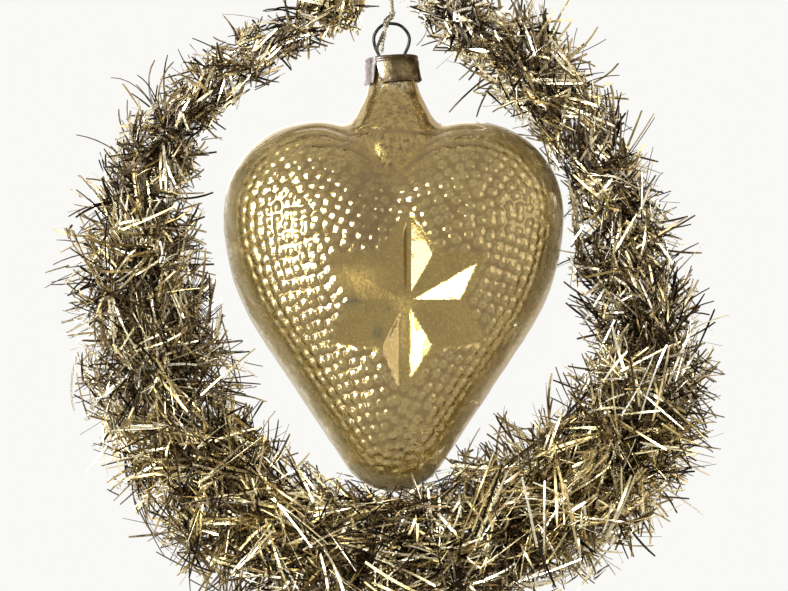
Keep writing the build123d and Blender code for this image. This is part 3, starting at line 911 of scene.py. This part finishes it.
def cap_shape():
    """The outer skin of the cap: a dished top, a rounded shoulder and four slit skirts."""
    slits = np.radians(CAP_SLITS_DEG)
    columns, rings = 44, 7
    share = np.arange(columns + 1) / columns
    parts = []
    for start, end in zip(slits, np.roll(slits, -1)):
        skirt = skirt_rows(start, (end - start) % TAU, share)
        rows = [np.tile((0.0, 0.0, -CAP_DISH), (columns + 1, 1))]
        for part in np.arange(1, rings) / rings:
            x, y = skirt[0][:, 0] * part, skirt[0][:, 1] * part
            dents = 0.03 * noise3(np.stack([x, y, np.full(columns + 1, 9.0)], 1), 1.6, 43)
            rows.append(np.stack([x, y, dents - CAP_DISH * (1 - part**2)], 1))
        rows += skirt
        index = np.arange(len(rows) * (columns + 1)).reshape(len(rows), -1)
        corners = (index[:-1, :-1], index[1:, :-1], index[1:, 1:], index[:-1, 1:])
        parts.append((np.concatenate(rows), np.stack(corners, -1).reshape(-1, 4).tolist()))
    return join_parts(parts)


tilt_cos, tilt_sin = math.cos(CAP_TILT), math.sin(CAP_TILT)
cap_turn = np.array([[tilt_cos, 0, -tilt_sin], [0, 1, 0], [tilt_sin, 0, tilt_cos]])
cap_points, cap_faces = cap_shape()
cap_points = cap_points @ cap_turn.T + (CAP_X, 0, CAP_TOP_Z)
tin = pressed_tin()
cap = make_object("cap_skin", cap_points, cap_faces, tin)
weld = cap.modifiers.new("weld", "WELD")
weld.merge_threshold = 0.001 * MM
shell = cap.modifiers.new("shell", "SOLIDIFY")
shell.thickness = TIN * MM
shell.offset = -1.0
apply_modifiers(cap)
hole_parts = []
for side in (-1, 1):
    hole_x = CAP_X + side * CLIP_HOLE_OFF
    ends = [(hole_x, 0, CAP_TOP_Z - 1.2), (hole_x, 0, CAP_TOP_Z + 1.2)]
    hole_parts.append(tube(ends, CLIP_HOLE_R, 20))
drill = make_object("drill", *join_parts(hole_parts), tin)
cut = cap.modifiers.new("holes", "BOOLEAN")
cut.operation = "DIFFERENCE"
cut.object = drill
cut.solver = "EXACT"
apply_modifiers(cap)
bpy.data.objects.remove(drill)
cap.data.set_sharp_from_angle(angle=math.radians(50))
settle(cap, "heart", "tin_cap", "metal_cap")

# ---- clip ----

RING_X, RING_Z, RING_R = -0.4, -22.2, 3.55
RING_OPEN = math.radians(25)
CLIP_WIRE_R = 0.32


def clip_path():
    """The ring, a little out of round, and its two legs down into the neck."""
    a = np.linspace(-RING_OPEN, math.pi + RING_OPEN, 72)
    r = RING_R + 0.05 * np.sin(3 * a + 0.6) + 0.03 * np.sin(7 * a)
    ring = np.stack([RING_X + r * np.cos(a), 0.06 * np.sin(2 * a), RING_Z + r * np.sin(a)], 1)
    legs = []
    for side, end in ((1, ring[0]), (-1, ring[-1])):
        at = RING_X + side * CLIP_HOLE_OFF
        controls = [
            end,
            end + (-side * 0.35, 0, -0.75),
            (at, 0, -25.2),
            (at, 0, -26.2),
            (at + side * 0.1, 0, -28.5),
            (at + side * 0.8, 0, -33.0),
            (at + side * 2.2, 0, -39.2),
        ]
        legs.append(evenly(nurbs_line(controls, 12), 0.35))
    return np.concatenate([legs[0][::-1][:-1], ring, legs[1][1:]])


clip_tones = ((0.055, 0.054, 0.052), (0.014, 0.013, 0.012), (0.007, 0.006, 0.005))
clip_wire = aged_wire("clip_wire", *clip_tones, 1.4)
clip_ring = tube(clip_path(), CLIP_WIRE_R, 14)
make_piece("clip_wire_ring", clip_ring, clip_wire, "clip", "clip_wire", "wire_clip")

# ---- core and eye ----

core_finish = aged_wire("core_wire", (0.52, 0.46, 0.36), (0.30, 0.24, 0.17), (0.13, 0.075, 0.04), 2.5)
CORE_WIRE_R, CORE_TWIST_R, CORE_PITCH = 0.35, 0.37, 5.5
for letter, phase in (("a", 0.0), ("b", math.pi)):
    strand = twisted(core_line, CORE_TWIST_R, CORE_PITCH, phase, closed=True)
    wire = tube(strand, CORE_WIRE_R, 8, closed=True)
    node = f"core_wire_{letter}"
    make_piece(f"core_strand_{letter}", wire, core_finish, "wreath", "core_wire", node)

EYE_R, EYE_Z, EYE_FOOT_X = 4.6, -4.2, 1.6
EYE_WIRE_R = 0.368  # a little thinner than in the CAD, so that the coils show apart
WRAP_R, WRAP_PITCH, WRAP_TURNS = 1.2, 0.74, 3.3


def wrap_round_core(start_run, direction):
    """Turns of the eye's wire round the core, starting on top of it."""
    a = np.linspace(0, WRAP_TURNS * TAU, 90)
    centre, ahead = core_at(start_run + direction * a / TAU * WRAP_PITCH)
    across = np.cross(ahead, (0.0, 1.0, 0.0))
    up = np.where((across[:, 2] > 0)[:, None], across, -across)
    return centre + WRAP_R * (up * np.cos(a)[:, None] + np.array([0, -1.0, 0]) * np.sin(a)[:, None])


def eye_path():
    """Coil, foot, round eye, foot and coil, as one wire."""
    foot = math.asin(EYE_FOOT_X / EYE_R)
    a = np.linspace(-math.pi / 2 + foot, 1.5 * math.pi - foot, 90)
    loop = np.stack([EYE_R * np.cos(a), 0.0 * a, EYE_Z + EYE_R * np.sin(a)], 1)
    right = wrap_round_core(EYE_FOOT_X, 1)
    left = wrap_round_core(-EYE_FOOT_X, -1)
    return np.concatenate([right[::-1], loop, left])


eye_finish = aged_wire("eye_wire", (0.62, 0.58, 0.50), (0.40, 0.36, 0.29), (0.17, 0.12, 0.07), 1.8)
eye_wire = tube(evenly(eye_path(), 0.3), EYE_WIRE_R, 12)
make_piece("eye_loop", eye_wire, eye_finish, "wreath", "eye_wire", "hanging_eye")

# ---- thread, knot and tails ----

THREAD_END_Z, KNOT_Z, RING_TOP_Z = -16.2, -17.1, -18.67
KNOT_TURNS, KNOT_R = 3.4, 0.48
# each yarn's plies: how far they lie from its middle, their pitch, their radius and their number
STRAND_YARN = (0.13, 0.95, 0.115, 3)
KNOT_YARN = (0.11, 0.8, 0.12, 2)
LOOP_YARN = (0.12, 0.8, 0.13, 2)
TAIL_YARN = (0.17, 1.3, 0.19, 2)


def plies(line, yarn, phase=0.0):
    """A yarn along a line, as plies twisted together."""
    radius, pitch, ply_r, count = yarn
    line = evenly(line, 0.12)
    phases = [phase + i / count * TAU for i in range(count)]
    return [tube(twisted(line, radius, pitch, turn), ply_r, 6) for turn in phases]


def thread_parts():
    """Two strands over the core, down to the knot."""
    top = core_line[0, 2]
    parts = []
    for i, (side, lean) in enumerate(((-1, -0.35), (1, 0.2))):  # in front of the core, behind it
        controls = [
            (-0.15, 0, top + 1.3),
            (-0.15 + lean * 0.3, side * 0.95, top + 1.15),
            (-0.2 + lean * 0.6, side * 1.3, top - 0.1),
            (-0.3 + lean, side * 0.95, top - 1.7),
            (-0.45 + lean, side * 0.42, top - 3.4),
            (-0.35 + lean * 0.7, side * 0.3, top - 5.0),
            (-0.15 + lean * 0.3, side * 0.26, THREAD_END_Z),
        ]
        parts += plies(nurbs_line(controls, 16), STRAND_YARN, i)
    return parts


def knot_parts():
    """A few tight turns round the strands, and the loop through the ring."""
    parts = []
    share = np.linspace(0, 1, 120)
    a = share * KNOT_TURNS * TAU
    height = KNOT_Z + 0.62 - share * 1.3 + 0.1 * np.sin(a * 0.5)
    turns_x = -0.15 - 0.5 * share + KNOT_R * np.cos(a)
    parts += plies(np.stack([turns_x, KNOT_R * np.sin(a), height], 1), KNOT_YARN)
    for side, x in ((-1, -0.22), (1, 0.1)):
        controls = [
            (x, side * 0.12, KNOT_Z + 0.9),
            (x - 0.25, side * 0.25, KNOT_Z),
            (x - 0.75, side * 0.42, RING_TOP_Z + 0.75),
            (-1.15, side * 0.7, RING_TOP_Z + 0.02),
            (-1.2, side * 0.52, RING_TOP_Z - 0.58),
            (-1.2, 0, RING_TOP_Z - 0.78),
        ]
        parts += plies(nurbs_line(controls, 14), LOOP_YARN, side)
    return parts


thread_gold = metal_thread("thread_gold", (0.24, 0.175, 0.08), (0.90, 0.84, 0.64))
thread_dark = metal_thread("thread_dark", (0.03, 0.024, 0.016), (0.20, 0.16, 0.10))
strands = join_parts(thread_parts())
make_piece("thread_strands", strands, thread_gold, "thread", "thread_gold", "hanging_thread")
knot = join_parts(knot_parts())
make_piece("knot_turns", knot, thread_gold, "knot", "thread_gold", "thread_knot")

TAIL_GOLD = [
    (-0.45, -0.5, -17.3),
    (-1.1, -0.95, -17.9),
    (-1.75, -1.1, -18.8),
    (-1.75, -1.35, -20.0),
    (-1.75, -0.9, -21.3),
    (-2.2, -0.85, -22.4),
    (-2.25, -0.95, -24.2),
]
TAIL_DARK = [
    (-0.25, -0.45, -17.0),
    (-1.3, -0.9, -17.6),
    (-1.9, -1.3, -18.6),
    (-1.55, -0.75, -19.9),
    (-2.3, -1.4, -21.2),
    (-2.75, -1.2, -22.4),
    (-3.4, -1.2, -23.9),
]
FIBRES, FIBRE_SPREAD, FIBRE_R = 6, 0.32, 0.055  # the cut ends fray
for name, node, route, finish, slot in (
    ("tail_light", "thread_tail_gold", TAIL_GOLD, thread_gold, "thread_gold"),
    ("tail_dark", "thread_tail_dark", TAIL_DARK, thread_dark, "thread_dark"),
):
    tail_parts = plies(nurbs_line(route, 14), TAIL_YARN)
    end = np.array(route[-1])
    for _ in range(FIBRES):
        spread = draw.normal(0, FIBRE_SPREAD, 3)
        fibre = [end + (0, 0, 0.4), end + spread * 0.3, end + spread * (1, 1, 0.4) + (0, 0, -0.35)]
        tail_parts.append(tube(nurbs_line(fibre, 6), FIBRE_R, 5))
    make_piece(name, join_parts(tail_parts), finish, "knot", slot, node)

# ---- tinsel ----

# how far the strands reach from the core, clockwise from the top, away from and towards the heart
OUTER_REACH = [3.4, 9.8, 9.4, 10.4, 12.5, 15, 16, 15, 14.5, 13, 13.0, 9.4, 6.4, 5.0, 3.8]
INNER_REACH = [3.4, 8.0, 7.8, 8.2, 10, 18.5, 21, 20, 16.5, 16, 20, 11.8, 6.2, 5.0, 3.8]
TINSEL_COUNT = len(OUTER_REACH) - 1
BARE_CORE = 5.0  # left free for the eye's wire, at each end of the garland
FEWEST_STRIPS, STRIPS_PER_REACH, USUAL_RUN = 190, 68, 22.9
STRAND_STEPS = 8
BUNDLE = 4  # neighbouring strips that leave the core together
tinsel_run = (core_length - 2 * BARE_CORE) / TINSEL_COUNT
WREATH_MIDDLE = np.array([0.0, 0.0, POLE_Z])
FOIL = 0.07  # thickness of a strip
STRIP_WIDTHS, STRIP_LENGTHS = (0.27, 0.52), (3.6, 17.0)
LOOSE_SHARE, STRAY_SHARE = 0.56, 0.06  # of all the strips
TONE_SPREAD = (0.7, 0.64)  # many dark and many bright strips, fewer between
FUZZ = 9.0  # how far past the CAD model's box a strip may reach
NECK_CLEAR = (1.4, SHOULDER_Z, -24.0)  # gap round the neck, and from where up to where
THREAD_CLEAR = (5.2, -27.0, -11.5)  # free radius round thread, clip and cap, and its height
# how far the ring sways to each side, and how low the strips keep off the swayed heart
SWAY_LIMITS = ((-2.0, -99.0), (4.0, -109.0))


def in_heart(points, margin):
    """True for points inside the heart's body grown by a margin."""
    x, y, z = np.moveaxis(points, -1, 0)
    grown = np.hypot(x, z - POLE_Z) / (reach_towards(x, z) + margin * 1.6)
    depth = (HALF_DEPTH + margin) * np.sqrt(np.clip(1 - grown**RIM_POWER, 0, 1))
    return (grown < 1) & (np.abs(y) < depth)


def swayed_back(points, degrees):
    """Points as the heart sees them when its ring has swayed by an angle."""
    a = math.radians(degrees)
    x, z = points[..., 0], points[..., 2] - RING_TOP_Z
    moved_x = x * math.cos(a) - z * math.sin(a)
    moved_z = x * math.sin(a) + z * math.cos(a) + RING_TOP_Z
    return np.stack([moved_x, points[..., 1], moved_z], -1)


def keeps_clear(points):
    """True for each strand that stays off the heart, its neck and cap, and the thread."""
    x, y, z = np.moveaxis(points, -1, 0)
    inside = in_heart(points, 0.9)
    for degrees, low_z in SWAY_LIMITS:
        inside |= in_heart(swayed_back(points, degrees), 0.4) & (z > low_z)
    around = np.hypot(x - CAP_X, y)
    for (gap, bottom, top), radius in ((NECK_CLEAR, neck_radius(z)), (THREAD_CLEAR, 0.0)):
        inside |= (around < radius + gap) & (z < top) & (z > bottom)
    low = np.array(cad_low) / MM - FUZZ
    high = np.array(cad_high) / MM + (FUZZ, FUZZ, FUZZ / 3)
    outside = ((points < low) | (points > high)).any(-1)
    return ~(inside | outside).any(-1)


def bundled(values, jitter):
    """Each value shared by the strands of one bundle, with a little jitter for each strand."""
    shared = np.repeat(values[: len(values) // BUNDLE + 1], BUNDLE)[: len(values)]
    return shared + draw.normal(0, jitter, len(values))


def strand_lines(run, count):
    """Lines of strands that leave the core near a run, and the strips' width directions."""
    run = bundled(run, 0.55)
    centre, ahead = core_at(run)
    outward = unit(np.cross(ahead, (0.0, 1.0, 0.0)))
    flip = np.sign(((centre - WREATH_MIDDLE) * outward).sum(-1))[:, None]
    outward = outward * flip
    turn = bundled(draw.uniform(0, TAU, count), 0.16)[:, None]
    radial = outward * np.cos(turn) + np.array([0.0, 1.0, 0.0]) * np.sin(turn)
    side = np.cross(ahead, radial)
    place = (run - BARE_CORE) / tinsel_run
    outer = np.interp(place, np.arange(TINSEL_COUNT + 1), OUTER_REACH)
    inner = np.interp(place, np.arange(TINSEL_COUNT + 1), INNER_REACH)
    facing = np.cos(turn[:, 0])
    radius = inner + (outer - inner) * smoothstep(facing, -0.7, 0.7)
    radius = radius * (1 - 0.14 * np.sin(turn[:, 0]) ** 2)
    # loose strips lie along and round the garland; the others rise from the core and curl over
    loose = bundled(draw.random(count), 0.0) < LOOSE_SHARE
    lean = np.where(loose, draw.uniform(1.1, 1.62, count), draw.uniform(0.2, 0.95, count))
    lean = bundled(lean, 0.12)
    any_way = draw.uniform(0, TAU, count)
    fore_or_aft = draw.normal(0, 0.7, count) + np.pi * draw.integers(0, 2, count)
    swirl = bundled(np.where(loose, any_way, fore_or_aft), 0.2)
    tangent = ahead * np.cos(swirl)[:, None] + side * np.sin(swirl)[:, None]
    heading = unit(radial * np.cos(lean)[:, None] + tangent * np.sin(lean)[:, None])
    start_r = np.where(loose, draw.uniform(0.3, 0.9, count) * radius, draw.uniform(0.3, 0.9, count))
    start_r = np.maximum(bundled(start_r, 0.35), 0.3)
    start = centre + radial * start_r[:, None]
    stray = draw.random(count) < STRAY_SHARE
    bend = np.where(loose, draw.normal(0.2, 0.28, count), draw.normal(0.62, 0.3, count))
    bend = np.abs(bundled(bend, 0.15)) + 0.05
    reached = radius * draw.uniform(0.72, 1.04, count)
    climb = (np.sin(lean + bend) - np.sin(lean)) / bend
    length = (reached - start_r) / np.maximum(climb, 0.38)
    loose_length = draw.uniform(5.5, 14, count) * np.clip(radius / 10, 0.5, 1.2)
    length = np.where(loose, loose_length, length)
    length = np.clip(np.where(stray, length * 1.2 + 1.5, length), *STRIP_LENGTHS)
    pull = np.where(loose[:, None], -radial, tangent) + 0.5 * draw.normal(size=(count, 3))
    pull = np.where(stray[:, None], draw.normal(size=(count, 3)), pull)
    axis = unit(np.cross(heading, pull))
    share = np.linspace(0, 1, STRAND_STEPS + 1)
    angle = bend[:, None] * share[None, :] ** 1.4
    curl = np.cross(axis, heading)
    step_dir = heading[:, None] * np.cos(angle)[..., None] + curl[:, None] * np.sin(angle)[..., None]
    step = step_dir * (length / STRAND_STEPS)[:, None, None]
    line = start[:, None] + np.concatenate([np.zeros((count, 1, 3)), np.cumsum(step[:, :-1], 1)], 1)
    roll = bundled(draw.uniform(0, TAU, count), 0.45)[:, None]
    roll = roll + draw.normal(0, 0.9, count)[:, None] * share[None, :]
    third = np.cross(axis[:, None], step_dir)
    wide = axis[:, None] * np.cos(roll)[..., None] + third * np.sin(roll)[..., None]
    thin = np.cross(step_dir, wide)
    return line, wide, thin, start_r / radius, stray


def tuft(number):
    """All the strands of one length of the garland."""
    first = BARE_CORE + number * tinsel_run
    reach = (OUTER_REACH[number] + OUTER_REACH[number + 1]) / 2
    wanted = int(FEWEST_STRIPS + STRIPS_PER_REACH * reach * tinsel_run / USUAL_RUN)
    kept, total = [], 0
    while total < wanted:
        run = first + draw.uniform(0, tinsel_run, wanted)
        drawn = strand_lines(run, wanted)
        good = keeps_clear(drawn[0])
        kept.append([part[good] for part in drawn])
        total += int(good.sum())
    drawn = (np.concatenate(part)[:wanted] for part in zip(*kept))
    line, wide, thin, depth, stray = drawn
    narrowing = 1 - 0.25 * smoothstep(np.linspace(0, 1, STRAND_STEPS + 1), 0.8, 1.0)
    width = draw.uniform(*STRIP_WIDTHS, wanted) * np.where(stray, 0.62, 1.0)
    half_w = (width[:, None] * narrowing)[..., None] / 2 * wide
    half_t = FOIL / 2 * thin
    near, far = line - half_t, line + half_t
    corners = np.stack([near - half_w, near + half_w, far + half_w, far - half_w], 2)
    strip = quads(STRAND_STEPS + 1, 4)
    strip += [[3, 2, 1, 0], [STRAND_STEPS * 4 + k for k in range(4)]]
    strip_points = (STRAND_STEPS + 1) * 4
    starts = np.arange(wanted)[:, None, None] * strip_points
    faces = (np.array(strip)[None] + starts).reshape(-1, 4).tolist()
    # strips that start near the core get darker tones: painted shade deep in the garland
    tone = bundled(draw.beta(*TONE_SPREAD, wanted), 0.1) * (0.55 + 0.57 * depth) + 0.01
    tone = np.clip(np.where(stray, 0.3 * tone, tone), 0, 1)
    # more gold low down, more silver up the arms
    golden = 0.68 + 0.3 * smoothstep(line[:, 0, 2], -80, -112)
    golden = np.clip(golden + bundled(draw.normal(0, 0.28, wanted), 0.1), 0, 1)
    marks = {"tone": np.repeat(tone, strip_points), "gold": np.repeat(golden, strip_points)}
    return corners.reshape(-1, 3), faces, marks


foil = tinsel_foil()
glitter = bpy.data.collections.new("glitter")
for number in range(TINSEL_COUNT):
    node = f"tinsel_{number + 1:02d}"
    strips = make_piece(f"{node}_strands", tuft(number), foil, "wreath", "tinsel", node, sharp_deg=40)
    glitter.objects.link(strips)

# ---- studio ----


def floor_paint():
    """A pale, slightly uneven floor paint."""
    rim_reflection_tone = np.array((0.86, 0.85, 0.82))
    f = Finish("floor_paint", Roughness=0.7)
    f.tinted(rgb(*rim_reflection_tone), [(f.step(f.noise(40, 3), 0.3, 0.7), *(rim_reflection_tone * 0.97))])
    return f.material


FLOOR_R, FLOOR_Z, FLOOR_SIDES = 420.0, -290.0, 96
floor_angle = np.arange(FLOOR_SIDES) / FLOOR_SIDES * TAU
floor_x, floor_y = FLOOR_R * np.cos(floor_angle), FLOOR_R * np.sin(floor_angle)
floor_points = np.stack([floor_x, floor_y, np.full(FLOOR_SIDES, FLOOR_Z)], 1)
floor = make_object("floor", floor_points, [list(range(FLOOR_SIDES))], floor_paint())
floor.visible_glossy = False

# what the object reflects: a pale wall behind it, white on the left and warm on the right, and
# a dim even room in front; the camera itself sees one plain backdrop
world = bpy.data.worlds.new("studio")
bpy.context.scene.world = world
world.use_nodes = True
studio = Nodes(world.node_tree)
studio.tree.nodes.clear()
to_view = studio.node("TexCoord").outputs["Generated"]
across, behind, _ = studio.node("SeparateXYZ", {0: to_view}).outputs
wall_levels = ((0.0, 0.0), (0.25, 0.95), (0.62, 0.95), (0.9, 0.3), (1.0, 0.2))
wall = studio.ramp(behind, [(place, level, level, level) for place, level in wall_levels])
wall_tint = studio.mix(studio.step(across, -0.7, 0.7), rgb(1.15, 1.12, 1.06), rgb(0.86, 0.73, 0.47))
room = studio.mix(wall, rgb(0.64, 0.60, 0.52), wall_tint)
ambient = studio.node("Background", {"Color": room, "Strength": 1.0}).outputs[0]
backdrop = studio.node("Background", {"Color": rgb(0.98, 0.975, 0.95), "Strength": 0.97}).outputs[0]
seen = studio.node("LightPath").outputs["Is Camera Ray"]
choice = studio.node("MixShader", {0: seen, 1: ambient, 2: backdrop}).outputs[0]
studio.node("OutputWorld", {"Surface": choice})


def soft_light(name, place, target, size, power, colour):
    """A rectangular soft light turned towards a point."""
    data = bpy.data.lights.new(name, "AREA")
    data.shape = "RECTANGLE"
    data.size, data.size_y = size
    data.energy = power
    data.color = colour
    lamp = add_object(name, data)
    lamp.location = place
    lamp.rotation_euler = (Vector(target) - Vector(place)).to_track_quat("-Z", "Y").to_euler()
    return lamp


HEART_MIDDLE = (0, 0, POLE_Z * MM)
for name, place, size, power, colour in (
    ("window", (-0.45, -0.51, 0.085), (0.34, 0.34), 5.9, (0.86, 0.95, 1.0)),
    ("sill", (-0.50, -0.42, -0.29), (0.16, 0.12), 0.36, (0.94, 0.97, 1.0)),
    ("room", (0.66, -0.38, 0.10), (0.45, 0.45), 0.62, (1.0, 0.95, 0.85)),
    ("behind", (-0.2, 0.8, 0.25), (0.6, 0.5), 1.0, (1.0, 0.98, 0.94)),
    ("foil_left", (-0.45, -0.30, 0.30), (0.5, 0.5), 6.6, (1.0, 1.0, 0.98)),
    ("foil_right", (0.47, -0.33, 0.20), (0.35, 0.35), 2.1, (1.0, 0.95, 0.84)),
    ("foil_low", (-0.10, -0.42, -0.52), (0.3, 0.3), 1.7, (1.0, 0.97, 0.90)),
    ("foil_high", (0.08, -0.30, 0.50), (0.3, 0.3), 1.8, (1.0, 0.99, 0.96)),
):
    lamp = soft_light(name, place, HEART_MIDDLE, size, power, colour)
    if name.startswith("foil"):  # these shine on the strips alone, which glitter as in daylight
        lamp.light_linking.receiver_collection = glitter

CAMERA_AT = (0.0001, -0.45, -0.0731)  # straight in front of the heart, as in the photograph
camera_data = bpy.data.cameras.new("camera")
camera_data.sensor_width = 36
camera_data.lens = 102.8
camera_data.clip_start = 0.01
camera = add_object("camera", camera_data)
camera.location = CAMERA_AT
camera.rotation_euler = (math.radians(90), 0, 0)
bpy.context.scene.camera = camera
bpy.context.scene.view_settings.view_transform = "Standard"
